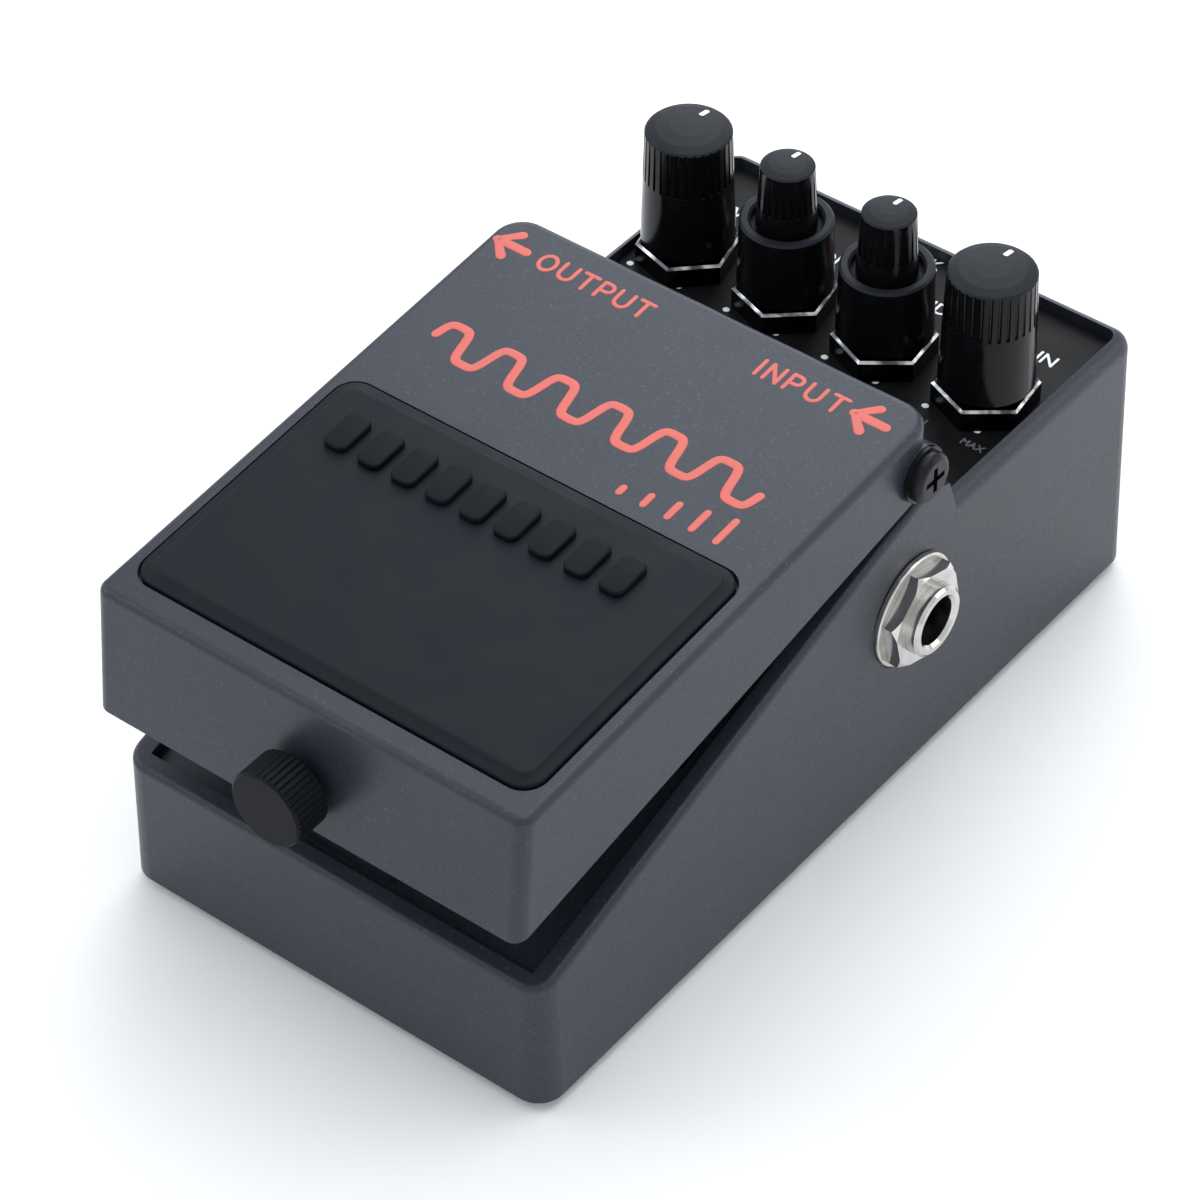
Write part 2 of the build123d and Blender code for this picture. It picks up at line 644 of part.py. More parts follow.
with BuildPart() as treadle_cover:
    low_slope = (hinge_z - tab_r - nose_low[1]) / (hinge_y - nose_low[0])
    tangent = (hinge_y + tab_r * sin(low_slope), hinge_z - tab_r * cos(low_slope))
    profile_prism(
        [
            nose_low,
            nose_top,
            heel_top,
            (heel_top[0], hinge_z),
            tangent,
        ],
        treadle_half,
    )
    profile_prism(
        [
            (heel_top[0] - 8, hinge_z + 2),
            (heel_top[0], hinge_z + 2),
            (heel_top[0], heel_low),
            (heel_top[0] - 8, heel_low),
        ],
        treadle_half,
    )
    upright = treadle_cover.edges().filter_by(Axis.Z)
    fillet(upright.group_by(Axis.Y)[-1], 4.0)
    nose_edges = treadle_cover.edges().filter_by(
        lambda e: e.center().Y < nose_top[0] and abs(e.center().X) > treadle_half - 0.1
        and abs(e.tangent_at(0.5).Z) > 0.9
    )
    fillet(nose_edges, 1.8)
    top_face = treadle_cover.faces().sort_by(Axis.Z)[-1]
    fillet(top_face.edges(), 1.1)
    add(treadle_hollow.part, mode=Mode.SUBTRACT)

    # bosses around the hinge, and relief for the casting's lugs
    for side in (-1, 1):
        bar_x(side * (treadle_half - treadle_wall), side * (treadle_half + 0.3), hinge_y, hinge_z, tab_r)
        relief = sorted((side * (lug_in - 0.7), side * (treadle_half - treadle_wall)))
        slab(*relief, hinge_y - 6, far, 30.0, hinge_z + 4.3, Mode.SUBTRACT)
        bar_x(side * (lug_out + 0.2), side * far, hinge_y, hinge_z, bush_r + run, Mode.SUBTRACT)

    # underside bosses for the spring and the striker
    for y, low, radius in ((spring_y, spring_top_z + cap_t + 0.1, 6.0), (switch_y, striker_top_z, 4.6)):
        post(0, y, low, treadle_z(y) - treadle_top_t + 1.2, radius)
    post(0, switch_y, striker_top_z - 1, striker_top_z + 2.3, 1.65, Mode.SUBTRACT)

    # hole for the thumb screw, and the recess for the foot pad
    bar_y(0, -70.0, -57.0, screw_z, screw_shank_r + 0.08, Mode.SUBTRACT)
    pad_mid = (pad_front + pad_back) / 2
    top_angle = degrees(atan2(heel_top[1] - nose_top[1], heel_top[0] - nose_top[0]))
    pad_plane = Plane((0, pad_mid, treadle_z(pad_mid))).rotated((top_angle, 0, 0))
    pad_length = (pad_back - pad_front) / cos(radians(top_angle))
    with BuildSketch(pad_plane.offset(-pad_sunk)):
        RectangleRounded(2 * pad_half + 2 * pad_gap, pad_length + 2 * pad_gap, 3.2)
    extrude(amount=10, mode=Mode.SUBTRACT)
finish(treadle_cover, "treadle_cover")

with BuildPart() as foot_pad:
    with BuildSketch(pad_plane.offset(-pad_sunk + 0.02)):
        RectangleRounded(2 * pad_half, pad_length, 3.0)
    extrude(amount=pad_sunk + pad_proud)
    fillet(foot_pad.faces().sort_by(Axis.Z)[-1].edges(), 0.6)
finish(foot_pad, "foot_pad")

with BuildPart() as striker:
    post(0, switch_y, plunger_top_z + 0.1, striker_top_z - 0.02, 3.5)
    post(0, switch_y, striker_top_z - 1, striker_top_z + 2.2, 1.6)
finish(striker, "striker")

# ---------------------------------------------------------------- hinge hardware
with BuildPart() as hinge_bushes:
    for side in (-1, 1):
        bar_x(side * (lug_out + 0.1), side * (treadle_half + 0.35), hinge_y, hinge_z, bush_r)
        bar_x(side * (lug_out + 0.1), side * (lug_out + 0.5), hinge_y, hinge_z, lug_r)
        bar_x(side * lug_in, side * far, hinge_y, hinge_z, pivot_r + run, Mode.SUBTRACT)
finish(hinge_bushes, "hinge_bushes")

washer_out = treadle_half + 0.4
with BuildPart() as hinge_washers:
    for side in (-1, 1):
        bar_x(side * washer_out, side * (washer_out + hinge_washer_t), hinge_y, hinge_z, hinge_head_r + 0.4)
        bar_x(side * lug_in, side * far, hinge_y, hinge_z, pivot_r + 0.05, Mode.SUBTRACT)
finish(hinge_washers, "hinge_washers")

head_seat = washer_out + hinge_washer_t + 0.02
with BuildPart() as hinge_screws:
    for side in (-1, 1):
        bar_x(side * (lug_in + 0.1), side * head_seat, hinge_y, hinge_z, pivot_r)
        bar_x(side * head_seat, side * (head_seat + hinge_head_t), hinge_y, hinge_z, hinge_head_r)
    ends = hinge_screws.edges().filter_by(GeomType.CIRCLE).group_by(Axis.X)
    fillet(ends[0] + ends[-1], 0.9)
    for side in (-1, 1):
        with Locations((side * (head_seat + hinge_head_t), hinge_y, hinge_z)):
            Box(1.6, 3.6, 0.8, mode=Mode.SUBTRACT)
            Box(1.6, 0.8, 3.6, mode=Mode.SUBTRACT)
finish(hinge_screws, "hinge_screws")

# ---------------------------------------------------------------- thumb screw
with BuildPart() as thumb_screw:
    bar_y(0, head_front, head_back, screw_z, head_r)
    chamfer(thumb_screw.edges().filter_by(GeomType.CIRCLE), 0.35)
    knurl_w = pi * head_r / knurl_count
    with Locations(Location((0, (head_front + head_back) / 2, screw_z), (90, 0, 0))):
        with PolarLocations(head_r + 0.02, knurl_count):
            Box(knurl_w * 0.75, knurl_w * 0.75, head_back - head_front + 1, rotation=(0, 0, 45),
                mode=Mode.SUBTRACT)
    bar_y(0, head_back - 0.5, head_back + 0.7, screw_z, 3.2)
    bar_y(0, head_back, -55.2, screw_z, screw_shank_r)
    bar_y(0, clip_y - 0.35, clip_y + 0.35, screw_z, screw_shank_r + 1, Mode.SUBTRACT)
    bar_y(0, clip_y - 0.36, clip_y + 0.36, screw_z, 1.5)
    chamfer(thumb_screw.faces().sort_by(Axis.Y)[-1].edges(), 0.5)
finish(thumb_screw, "thumb_screw")

with BuildPart() as screw_clip:
    bar_y(0, clip_y - 0.3, clip_y + 0.3, screw_z, 3.5)
    bar_y(0, clip_y - 1, clip_y + 1, screw_z, 1.5 + run, Mode.SUBTRACT)
    slab(-1.2, 1.2, clip_y - 1, clip_y + 1, screw_z - 5, screw_z, Mode.SUBTRACT)
finish(screw_clip, "screw_clip")
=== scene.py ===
import json
from math import cos, pi, radians, sin, tanh

import bmesh
import bpy
from mathutils import Matrix, Vector


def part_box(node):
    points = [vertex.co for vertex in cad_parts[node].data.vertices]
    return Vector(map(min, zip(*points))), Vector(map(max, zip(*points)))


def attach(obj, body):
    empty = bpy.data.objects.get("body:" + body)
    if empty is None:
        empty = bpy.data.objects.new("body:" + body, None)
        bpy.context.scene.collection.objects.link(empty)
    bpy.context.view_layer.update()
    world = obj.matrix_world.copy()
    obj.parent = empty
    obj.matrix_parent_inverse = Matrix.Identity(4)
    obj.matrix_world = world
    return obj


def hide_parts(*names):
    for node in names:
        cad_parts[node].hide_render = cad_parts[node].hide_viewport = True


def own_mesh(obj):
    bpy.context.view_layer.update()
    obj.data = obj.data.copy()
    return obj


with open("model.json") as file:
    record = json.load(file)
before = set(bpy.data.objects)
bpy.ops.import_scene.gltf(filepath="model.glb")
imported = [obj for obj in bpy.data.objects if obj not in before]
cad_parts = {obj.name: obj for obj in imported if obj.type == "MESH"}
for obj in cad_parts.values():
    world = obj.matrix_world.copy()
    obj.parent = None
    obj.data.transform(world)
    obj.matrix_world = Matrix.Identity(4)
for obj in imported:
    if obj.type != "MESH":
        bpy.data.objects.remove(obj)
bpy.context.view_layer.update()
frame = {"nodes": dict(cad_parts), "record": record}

MM = 0.001
INK_FILM = 0.035 * MM  # how far a printed stroke stands up from its surface
CAPITAL_SHARE = 0.72  # height of a capital in the built-in font, as a share of its size
nodes = frame["nodes"]


# ---------------------------------------------------------------- places, all read from the frame
def middle(node):
    """Centre of a CAD node's box."""
    low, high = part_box(node)
    return (low + high) / 2


def facing_up(node, behind=-1.0):
    """Point and normal of a node's largest upward face, among faces behind a given y."""
    up = [p for p in nodes[node].data.polygons if p.normal.z > 0.9 and p.center.y > behind]
    largest = max(up, key=lambda p: p.area)
    return largest.center.copy(), largest.normal.copy()


def drawing_plane(point, normal):
    """Matrix of a plane to draw on: X across the pedal, Y up the slope, Z out of the face."""
    across = Vector((1, 0, 0))
    along = normal.cross(across)
    height = point.z + point.y * normal.y / normal.z
    turn = Matrix((across, along, normal)).transposed().to_4x4()
    return Matrix.Translation((0, 0, height)) @ turn


def top_of(node, x, y):
    """Height of a node's surface straight below a point."""
    hit, place, _, _ = nodes[node].ray_cast(Vector((x, y, 1.0)), Vector((0, 0, -1)))
    return place.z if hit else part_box(node)[1].z


# ---------------------------------------------------------------- materials
def node_in(tree, kind, inputs, **settings):
    """A shader node with its settings, and with values or links on its inputs."""
    made = tree.nodes.new(kind)
    for name, value in settings.items():
        setattr(made, name, value)
    for name, value in inputs.items():
        if isinstance(value, bpy.types.NodeSocket):
            tree.links.new(value, made.inputs[name])
        else:
            made.inputs[name].default_value = value
    return made


def new_material(name):
    """A material with only a Principled shader: its tree, its shader and its surface coordinates."""
    material = bpy.data.materials.new(name)
    material.use_nodes = True
    tree = material.node_tree
    coordinates = tree.nodes.new("ShaderNodeTexCoord")
    return material, tree, tree.nodes["Principled BSDF"], coordinates


def noise(tree, place, scale, detail=2.0):
    """Noise of that many features a metre."""
    return node_in(tree, "ShaderNodeTexNoise", {"Vector": place, "Scale": scale, "Detail": detail})


def ramp(tree, factor, low, high):
    """A number pulled out to 0 at low and 1 at high."""
    return node_in(
        tree, "ShaderNodeMapRange",
        {"Value": factor, "From Min": low, "From Max": high, "To Min": 0.0, "To Max": 1.0},
        interpolation_type="SMOOTHSTEP",
    ).outputs["Result"]


def mix_colour(tree, factor, first, second):
    """Two colours, or a colour and a link, mixed by a factor."""
    mixed = node_in(tree, "ShaderNodeMix", {"Factor": factor}, data_type="RGBA")
    for socket, value in ((mixed.inputs[6], first), (mixed.inputs[7], second)):
        if isinstance(value, bpy.types.NodeSocket):
            tree.links.new(value, socket)
        else:
            socket.default_value = (*value, 1.0)
    return mixed.outputs[2]


def mix_number(tree, factor, low, high):
    """A number between low and high, by a factor from 0 to 1."""
    return node_in(
        tree, "ShaderNodeMapRange",
        {"Value": factor, "From Min": 0.0, "From Max": 1.0, "To Min": low, "To Max": high},
    ).outputs["Result"]


def bump(tree, shader, height, depth, under=None):
    """Bump of that real depth in metres, laid over another bump if there is one."""
    inputs = {"Height": height, "Distance": depth, "Strength": 1.0}
    if under:
        inputs["Normal"] = under.outputs["Normal"]
    made = node_in(tree, "ShaderNodeBump", inputs)
    tree.links.new(made.outputs["Normal"], shader.inputs["Normal"])
    return made


def mottled(name, dark, light, rough, grain, depth, metal=0.0, patch=180.0, shine=0.5):
    """A finish whose tone and gloss wander a little, with a fine grain.

    dark and light are its two tones, and rough is the roughness of each. grain and patch are
    noise scales, in features a metre, and depth is the grain's relief in metres.
    """
    material, tree, shader, coordinates = new_material(name)
    place = coordinates.outputs["Object"]
    patches = noise(tree, place, patch, 4.0).outputs["Fac"]
    tone = ramp(tree, patches, 0.3, 0.7)
    tree.links.new(mix_colour(tree, tone, dark, light), shader.inputs["Base Color"])
    tree.links.new(mix_number(tree, tone, *rough), shader.inputs["Roughness"])
    bump(tree, shader, noise(tree, place, grain, 3.0).outputs["Fac"], depth)
    shader.inputs["Metallic"].default_value = metal
    shader.inputs["Specular IOR Level"].default_value = shine
    return material


def powder_coat():
    """Charcoal powder coat: satin, with soft orange peel and a faint fine speckle."""
    material, tree, shader, coordinates = new_material("powder_coat")
    place = coordinates.outputs["Object"]
    patches = ramp(tree, noise(tree, place, 55.0, 3.0).outputs["Fac"], 0.3, 0.7)
    body = mix_colour(tree, patches, (0.0195, 0.0235, 0.0345), (0.0235, 0.028, 0.0405))
    speckle = ramp(tree, noise(tree, place, 2600.0, 2.0).outputs["Fac"], 0.3, 0.7)
    body = mix_colour(tree, mix_number(tree, speckle, 0.0, 0.16), body, (0.042, 0.049, 0.065))
    cells = node_in(tree, "ShaderNodeTexVoronoi", {"Vector": place, "Scale": 3800.0})
    red = node_in(tree, "ShaderNodeSeparateColor", {"Color": cells.outputs["Color"]}).outputs["Red"]
    flake = mix_number(tree, ramp(tree, red, 0.965, 0.985), 0.0, 0.5)
    tree.links.new(mix_colour(tree, flake, body, (0.06, 0.067, 0.084)), shader.inputs["Base Color"])
    tree.links.new(mix_number(tree, speckle, 0.42, 0.34), shader.inputs["Roughness"])
    peel = bump(tree, shader, noise(tree, place, 700.0, 2.0).outputs["Fac"], 0.010 * MM)
    bump(tree, shader, noise(tree, place, 3000.0, 1.0).outputs["Fac"], 0.0025 * MM, peel)
    shader.inputs["Metallic"].default_value = 0.12
    shader.inputs["Specular IOR Level"].default_value = 0.42
    return material


def knob_plastic():
    """Glossy black sides, and a matt finish wherever the moulding faces up, painted a lighter grey
    there as painted light from above.
    """
    material, tree, shader, coordinates = new_material("knob_plastic")
    place = coordinates.outputs["Object"]
    facing = node_in(tree, "ShaderNodeSeparateXYZ", {"Vector": coordinates.outputs["Normal"]})
    top = ramp(tree, facing.outputs["Z"], 0.45, 0.8)
    grain = noise(tree, place, 2600.0, 3.0).outputs["Fac"]
    # Up-facing faces get a lighter grey than the sides, painted light from above; the grain is the
    # plastic's own.
    top_grain_and_painted_light = mix_colour(tree, grain, (0.006, 0.0078, 0.012), (0.011, 0.014, 0.02))
    tree.links.new(mix_colour(tree, top, (0.004, 0.004, 0.005), top_grain_and_painted_light), shader.inputs["Base Color"])
    smears = ramp(tree, noise(tree, place, 240.0, 4.0).outputs["Fac"], 0.35, 0.7)
    side_gloss = mix_number(tree, smears, 0.13, 0.24)
    gloss = node_in(tree, "ShaderNodeMix", {"Factor": top}, data_type="FLOAT")
    tree.links.new(side_gloss, gloss.inputs[2])
    gloss.inputs[3].default_value = 0.52
    tree.links.new(gloss.outputs[0], shader.inputs["Roughness"])
    bump(tree, shader, grain, 0.004 * MM)
    shader.inputs["Specular IOR Level"].default_value = 0.2
    return material


def blackened_nut():
    """Blackened steel, with a painted highlight along the bevelled edge."""
    material, tree, shader, coordinates = new_material("blackened_nut")
    place = coordinates.outputs["Object"]
    normal = node_in(tree, "ShaderNodeSeparateXYZ", {"Vector": coordinates.outputs["Normal"]})
    facing = normal.outputs["Z"]
    rises, falls = ramp(tree, facing, 0.35, 0.5), ramp(tree, facing, 0.95, 0.85)
    painted_glint_mask = node_in(tree, "ShaderNodeMath", {0: rises, 1: falls}, operation="MULTIPLY").outputs["Value"]
    smears = ramp(tree, noise(tree, place, 500.0, 3.0).outputs["Fac"], 0.3, 0.7)
    black = mix_colour(tree, smears, (0.012, 0.012, 0.014), (0.03, 0.03, 0.033))
    glint_breaks = ramp(tree, noise(tree, place, 420.0, 2.0).outputs["Fac"], 0.38, 0.66)
    # The bevelled edge is painted bright, a painted highlight broken up by noise.
    painted_glint = mix_colour(tree, glint_breaks, (0.07, 0.07, 0.075), (0.55, 0.55, 0.57))
    tree.links.new(mix_colour(tree, painted_glint_mask, black, painted_glint), shader.inputs["Base Color"])
    tree.links.new(mix_number(tree, smears, 0.14, 0.26), shader.inputs["Roughness"])
    bump(tree, shader, noise(tree, place, 900.0, 3.0).outputs["Fac"], 0.004 * MM)
    shader.inputs["Metallic"].default_value = 1.0
    return material


def battery_case():
    """Printed steel can: a dark sleeve with a copper band at the terminal end."""
    material, tree, shader, coordinates = new_material("battery_case")
    place = coordinates.outputs["Object"]
    along = node_in(tree, "ShaderNodeSeparateXYZ", {"Vector": place}).outputs["X"]
    low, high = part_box("battery")
    split = low.x + 0.72 * (high.x - low.x)
    band = ramp(tree, along, split - 0.1 * MM, split + 0.1 * MM)
    scuffs = ramp(tree, noise(tree, place, 300.0, 3.0).outputs["Fac"], 0.5, 0.85)
    sleeve = mix_colour(tree, scuffs, (0.012, 0.013, 0.016), (0.03, 0.03, 0.035))
    tree.links.new(mix_colour(tree, band, sleeve, (0.45, 0.2, 0.09)), shader.inputs["Base Color"])
    tree.links.new(mix_number(tree, scuffs, 0.25, 0.4), shader.inputs["Roughness"])
    bump(tree, shader, scuffs, 0.002 * MM)
    shader.inputs["Metallic"].default_value = 0.3
    return material


def lamp_lens():
    """Red plastic that lets a little light through, unlit."""
    material = mottled("lamp_lens", (0.28, 0.008, 0.008), (0.36, 0.012, 0.01),
                       (0.1, 0.16), 900.0, 0.004 * MM)
    shader = material.node_tree.nodes["Principled BSDF"]
    shader.inputs["Transmission Weight"].default_value = 0.35
    return material


def painted_floor():
    """Pale studio floor."""
    return mottled("painted_floor", (0.95, 0.95, 0.95), (0.97, 0.97, 0.97),
                   (0.7, 0.8), 60.0, 0.02 * MM, patch=4.0)


MATERIALS = {
    "casting": powder_coat(),
    "steel_plate": mottled("steel_plate", (0.035, 0.036, 0.04), (0.05, 0.05, 0.055),
                           (0.4, 0.55), 1500.0, 0.01 * MM),
    "black_screw": mottled("black_screw", (0.006, 0.006, 0.008), (0.014, 0.014, 0.017),
                           (0.28, 0.42), 1400.0, 0.006 * MM, metal=0.4, shine=0.25),
    "sole_rubber": mottled("sole_rubber", (0.018, 0.018, 0.019), (0.03, 0.03, 0.031),
                           (0.7, 0.9), 2200.0, 0.03 * MM),
    "pad_rubber": mottled("pad_rubber", (0.0045, 0.006, 0.0102), (0.006, 0.008, 0.013),
                          (0.5, 0.62), 2400.0, 0.008 * MM, shine=0.17),
    "striker_rubber": mottled("striker_rubber", (0.03, 0.03, 0.03), (0.05, 0.05, 0.05),
                              (0.7, 0.85), 1500.0, 0.02 * MM),
    "board": mottled("board", (0.012, 0.09, 0.03), (0.03, 0.19, 0.07),
                     (0.3, 0.45), 700.0, 0.02 * MM, patch=900.0),
    "components": mottled("components", (0.012, 0.012, 0.013), (0.03, 0.03, 0.03),
                          (0.35, 0.6), 1200.0, 0.01 * MM),
    "zinc_screw": mottled("zinc_screw", (0.5, 0.5, 0.5), (0.66, 0.65, 0.62),
                          (0.22, 0.4), 900.0, 0.006 * MM, metal=1.0),
    "ribbon": mottled("ribbon", (0.5, 0.5, 0.49), (0.62, 0.62, 0.6),
                      (0.45, 0.6), 900.0, 0.01 * MM),
    "insulator": mottled("insulator", (0.5, 0.43, 0.26), (0.6, 0.52, 0.33),
                         (0.6, 0.8), 1600.0, 0.02 * MM),
    "socket_plastic": mottled("socket_plastic", (0.01, 0.01, 0.011), (0.022, 0.022, 0.023),
                              (0.35, 0.5), 1600.0, 0.01 * MM),
    "nickel": mottled("nickel", (0.54, 0.525, 0.5), (0.66, 0.645, 0.62),
                      (0.1, 0.2), 700.0, 0.003 * MM, metal=1.0, patch=400.0),
    "panel": mottled("panel", (0.005, 0.005, 0.006), (0.008, 0.008, 0.009),
                     (0.42, 0.52), 2400.0, 0.005 * MM, shine=0.12),
    "lamp": lamp_lens(),
    "bezel": mottled("bezel", (0.008, 0.008, 0.009), (0.014, 0.014, 0.015),
                     (0.15, 0.25), 1500.0, 0.004 * MM),
    "pot_metal": mottled("pot_metal", (0.4, 0.4, 0.38), (0.55, 0.54, 0.5),
                         (0.25, 0.42), 700.0, 0.006 * MM, metal=1.0),
    "shaft_metal": mottled("shaft_metal", (0.55, 0.44, 0.24), (0.68, 0.56, 0.32),
                           (0.2, 0.34), 900.0, 0.006 * MM, metal=1.0),
    "pot_nut": blackened_nut(),
    "knob_plastic": knob_plastic(),
    "battery_case": battery_case(),
    "snap_plastic": mottled("snap_plastic", (0.012, 0.012, 0.013), (0.03, 0.03, 0.03),
                            (0.45, 0.65), 1200.0, 0.015 * MM),
    "nylon": mottled("nylon", (0.62, 0.61, 0.56), (0.74, 0.73, 0.68),
                     (0.35, 0.5), 1200.0, 0.01 * MM),
    "spring_steel": mottled("spring_steel", (0.38, 0.38, 0.39), (0.55, 0.55, 0.55),
                            (0.2, 0.36), 1200.0, 0.006 * MM, metal=1.0),
    "switch_plastic": mottled("switch_plastic", (0.012, 0.012, 0.013), (0.024, 0.024, 0.025),
                              (0.3, 0.5), 1600.0, 0.01 * MM),
    "plunger_plastic": mottled("plunger_plastic", (0.6, 0.6, 0.56), (0.7, 0.7, 0.66),
                               (0.25, 0.4), 1400.0, 0.005 * MM),
    "thumb_metal": mottled("thumb_metal", (0.005, 0.006, 0.0085), (0.008, 0.0095, 0.013),
                           (0.38, 0.5), 2200.0, 0.005 * MM, shine=0.08),
}
salmon_ink = mottled("salmon_ink", (0.60, 0.112, 0.09), (0.66, 0.13, 0.103),
                     (0.45, 0.6), 3000.0, 0.006 * MM)
# Pad rubber darkened as painted shade, so the raised ribs read darker than the pad.
rib_rubber_painted_shade = mottled("rib_rubber_painted_shade", (0.003, 0.004, 0.0065), (0.0045, 0.006, 0.0095),
                     (0.5, 0.62), 2400.0, 0.008 * MM, shine=0.12)
# White print painted grey as painted shade, for the MIN and MAX labels.
painted_shade_ink = mottled("painted_shade_ink", (0.11, 0.112, 0.118), (0.15, 0.152, 0.16),
                   (0.45, 0.6), 3000.0, 0.006 * MM)
white_ink = mottled("white_ink", (0.78, 0.79, 0.8), (0.86, 0.87, 0.88),
                    (0.45, 0.6), 3000.0, 0.006 * MM)

for part in frame["record"]["subparts"]:
    mesh = nodes[part["node"]].data
    mesh.materials.clear()
    mesh.materials.append(MATERIALS[part["material_slot"]])


# ---------------------------------------------------------------- making pieces
def piece(name, mesh, material, body, smooth=True):
    """A finished mesh, in the row frame, as an object that rides on a body."""
    made = bpy.data.objects.new(name, mesh)
    bpy.context.collection.objects.link(made)
    mesh.materials.clear()
    mesh.materials.append(material)
    for face in mesh.polygons:
        face.use_smooth = smooth
    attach(made, body)
    return made


def curve_mesh(paths, radius, round_ends=True):
    """Round bars along 3-D paths, as one mesh. Open bars end in domes, or else flat."""
    curve = bpy.data.curves.new("bars", "CURVE")
    curve.dimensions = "3D"
    curve.bevel_depth = radius
    curve.bevel_resolution = 3
    curve.use_fill_caps = True
    for path in paths:
        path = [Vector(p) for p in path]
        ring = (path[0] - path[-1]).length < 1e-9
        thickness = [1.0] * len(path)
        if ring:
            path.pop()
        elif round_ends:
            first = (path[0] - path[1]).normalized()
            last = (path[-1] - path[-2]).normalized()
            angles = (radians(80), radians(55), radians(30))
            path = (
                [path[0] + first * radius * sin(a) for a in angles]
                + path
                + [path[-1] + last * radius * sin(a) for a in reversed(angles)]
            )
            thickness = [cos(a) for a in angles] + thickness + [cos(a) for a in reversed(angles)]
        spline = curve.splines.new("POLY")
        spline.points.add(len(path) - 1)
        for point, place, share in zip(spline.points, path, thickness):
            point.co = (*place, 1.0)
            point.radius = share
        spline.use_cyclic_u = ring
    holder = bpy.data.objects.new("bars", curve)
    mesh = bpy.data.meshes.new_from_object(holder)
    bpy.data.objects.remove(holder)
    return mesh


def ink(name, paths, width, plane, material, body):
    """Flat printed strokes: 2-D paths in metres on a drawing plane."""
    mesh = curve_mesh([[(x, y, 0.0) for x, y in path] for path in paths], width / 2)
    flatten = Matrix.Diagonal((1.0, 1.0, 2 * INK_FILM / width, 1.0))
    mesh.transform(plane @ flatten)
    return piece(name, mesh, material, body)


def rounded_rectangle(half_x, half_y, corner, steps=8):
    """Points round a rectangle with round corners, counter-clockwise."""
    points = []
    for quarter, (sx, sy) in enumerate(((1, 1), (-1, 1), (-1, -1), (1, -1))):
        for i in range(steps + 1):
            angle = (quarter + i / steps) * pi / 2
            x = sx * (half_x - corner) + corner * cos(angle)
            points.append((x, sy * (half_y - corner) + corner * sin(angle)))
    return points


def moulded_plate(centre, half_x, half_y, corner, steps, plane):
    """A closed plate whose edge profile is a list of (inset, height) steps from the bottom up."""
    shape = bmesh.new()
    rings = []
    for inset, height in steps:
        outline = rounded_rectangle(half_x - inset, half_y - inset, max(corner - inset, corner * 0.25))
        rings.append([shape.verts.new((centre[0] + x, centre[1] + y, height)) for x, y in outline])
    for lower, upper in zip(rings, rings[1:]):
        for i in range(len(lower)):
            j = (i + 1) % len(lower)
            shape.faces.new((lower[i], lower[j], upper[j], upper[i]))
    shape.faces.new(list(reversed(rings[0])))
    shape.faces.new(rings[-1])
    mesh = bpy.data.meshes.new("plate")
    shape.to_mesh(mesh)
    shape.free()
    mesh.transform(plane)
    return mesh


def join_meshes(meshes):
    """Several meshes as one."""
    shape = bmesh.new()
    for mesh in meshes:
        shape.from_mesh(mesh)
    joined = bpy.data.meshes.new("joined")
    shape.to_mesh(joined)
    shape.free()
    return joined


# ---------------------------------------------------------------- lettering and printed marks
def arc(x, y, rx, ry, start, end, steps=12):
    """Points along part of an ellipse, angles in degrees."""
    angles = [radians(start + (end - start) * i / steps) for i in range(steps + 1)]
    return [(x + rx * cos(a), y + ry * sin(a)) for a in angles]


# Stroke letters, one unit high: width, then strokes.
LETTERS = {
    "I": (0.0, [[(0, 0), (0, 1)]]),
    "N": (0.68, [[(0, 0), (0, 1)], [(0, 1), (0.68, 0)], [(0.68, 0), (0.68, 1)]]),
    "O": (0.84, [arc(0.42, 0.5, 0.42, 0.5, 0, 360, 28)]),
    "P": (0.62, [[(0, 0), (0, 1)],
                 [(0, 1), (0.34, 1)] + arc(0.34, 0.72, 0.28, 0.28, 90, -90) + [(0, 0.44)]]),
    "T": (0.76, [[(0, 1), (0.76, 1)], [(0.38, 1), (0.38, 0)]]),
    "U": (0.74, [[(0, 1)] + arc(0.37, 0.38, 0.37, 0.38, 180, 360) + [(0.74, 1)]]),
}


def word(text, left, right, low, high):
    """Stroke paths of a word fitted between two x and two y."""
    tall = high - low
    widths = sum(LETTERS[c][0] for c in text) * tall
    gap = (right - left - widths) / (len(text) - 1)
    paths = []
    x = left
    for c in text:
        wide, strokes = LETTERS[c]
        paths += [[(x + u * tall, low + v * tall) for u, v in stroke] for stroke in strokes]
        x += wide * tall + gap
    return paths


def arrow(tip, tail, y, barb):
    """An arrow that points towards -X."""
    head = [(tip + barb, y + barb), (tip, y), (tip + barb, y - barb)]
    return [head, [(tip, y), (tail, y)]]


pad_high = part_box("foot_pad")[1]
cover = drawing_plane(*facing_up("treadle_cover", behind=pad_high.y))
arrow_y, arrow_barb, arrow_stroke = 9.9 * MM, 2.15 * MM, 1.35 * MM
word_low, word_high, letter_stroke = 8.6 * MM, 11.2 * MM, 0.56 * MM
for name, tip, tail in (
    ("output_arrow", -30.0 * MM, -25.6 * MM),
    ("input_arrow", 23.6 * MM, 28.0 * MM),
):
    paths = arrow(tip, tail, arrow_y, arrow_barb)
    ink(name, paths, arrow_stroke, cover, salmon_ink, "treadle")
for name, letters, left, right in (
    ("output_word", "OUTPUT", -23.3 * MM, -6.7 * MM),
    ("input_word", "INPUT", 9.9 * MM, 22.0 * MM),
):
    paths = word(letters, left, right, word_low, word_high)
    ink(name, paths, letter_stroke, cover, salmon_ink, "treadle")


def clipped_wave(left, right, y, height, cycles, clipping=2.6, steps=260):
    """A sine wave with its peaks flattened, as an overdriven signal looks."""
    points = []
    for i in range(steps + 1):
        share = i / steps
        level = tanh(clipping * sin(2 * pi * cycles * share)) / tanh(clipping)
        points.append((left + share * (right - left), y + height * level))
    return points


